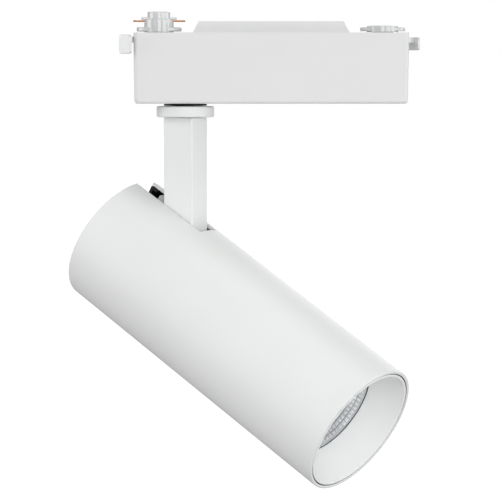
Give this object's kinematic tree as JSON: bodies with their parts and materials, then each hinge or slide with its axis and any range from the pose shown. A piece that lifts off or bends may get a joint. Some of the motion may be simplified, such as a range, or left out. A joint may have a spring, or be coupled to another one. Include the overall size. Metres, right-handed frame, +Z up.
{
  "type": "track spotlight",
  "caption": "White cylindrical track spotlight: driver box with turning contact head and lock, swivel arm, tilting lamp head with recessed faceted reflector.",
  "frame": {"origin": "centre of the top face of the key on the driver box, the face that enters the track groove", "axes": "+Z up towards the track, +X along the track from the contact head to the lock, the lamp head swung towards -Y"},
  "size_m": [0.1934, 0.1571, 0.2527],
  "materials": {
    "white_paint": "fine matt white powder coat",
    "box_plastic": "satin moulded white",
    "gloss_plastic": "glossy moulded white",
    "black_plastic": "matt black",
    "zinc_steel": "zinc plated",
    "copper": "bare copper alloy strip",
    "aluminium": "plain extruded",
    "mirror_aluminium": "vapour-coated bright facets",
    "dark_ring": "dark blue-grey anodised",
    "circuit_board": "solder mask",
    "ferrite": "fired ferrite",
    "winding": "tape-wrapped winding",
    "capacitor_sleeve": "shrink sleeve",
    "terminal_plastic": "moulded",
    "phosphor": "silicone phosphor",
    "thermal_pad": "soft pad"
  },
  "bodies": {
    "driver_box": {"driver_housing": "box_plastic", "driver_lid": "box_plastic", "lid_screw_1": "zinc_steel", "lid_screw_2": "zinc_steel", "lid_screw_3": "zinc_steel", "lid_screw_4": "zinc_steel", "driver_board": "circuit_board", "board_screw_1": "zinc_steel", "board_screw_2": "zinc_steel", "input_terminal": "terminal_plastic", "filter_choke": "winding", "film_capacitor": "terminal_plastic", "bulk_capacitor": "capacitor_sleeve", "output_capacitor_1": "capacitor_sleeve", "output_capacitor_2": "capacitor_sleeve", "transformer_core": "ferrite", "transformer_coil": "winding", "output_terminal": "terminal_plastic"},
    "contact_head": {"contact_rotor": "gloss_plastic", "contact_blade_left": "copper", "contact_blade_right": "copper", "contact_cap": "gloss_plastic", "contact_lever": "gloss_plastic", "contact_clip": "zinc_steel"},
    "track_lock": {"lock_rotor": "gloss_plastic", "lock_lever": "gloss_plastic", "lock_clip": "zinc_steel"},
    "swivel": {"swivel_collar": "white_paint", "neck_bush": "black_plastic", "threaded_nipple": "zinc_steel", "wave_washer": "zinc_steel", "stop_washer": "zinc_steel", "swivel_nut": "zinc_steel", "swivel_arm": "white_paint", "pivot_sleeve": "zinc_steel"},
    "lamp_head": {"lamp_tube": "white_paint", "rear_cap": "white_paint", "hinge_bracket": "zinc_steel", "bracket_screw_1": "zinc_steel", "bracket_screw_2": "zinc_steel", "pivot_pin": "zinc_steel", "pivot_nut": "zinc_steel", "disc_spring": "zinc_steel", "friction_washer_1": "black_plastic", "friction_washer_2": "black_plastic", "heat_sink": "aluminium", "thermal_pad": "thermal_pad", "led_board": "aluminium", "led_emitter": "phosphor", "led_holder": "box_plastic", "reflector": "mirror_aluminium", "reflector_ring": "dark_ring", "bezel": "white_paint", "holder_screw_1": "zinc_steel", "holder_screw_2": "zinc_steel"}
  },
  "joints": [
    {"name": "contact_head_turn", "type": "hinge", "parent": "driver_box", "child": "contact_head", "pos_m": [-0.0607, 0, -0.0082], "axis": [0, 0, -1], "range_deg": [0, 90]},
    {"name": "track_lock_turn", "type": "hinge", "parent": "driver_box", "child": "track_lock", "pos_m": [0.0607, 0, -0.0082], "axis": [0, 0, -1], "range_deg": [0, 90]},
    {"name": "swivel_turn", "type": "hinge", "parent": "driver_box", "child": "swivel", "pos_m": [-0.0466, 0, -0.0445], "axis": [0, 0, 1], "range_deg": [-135, 205]},
    {"name": "head_tilt", "type": "hinge", "parent": "swivel", "child": "lamp_head", "pos_m": [-0.0466, 0, -0.11655], "axis": [0.5736, 0.8192, 0], "range_deg": [-30.85, 59.15]}
  ]
}
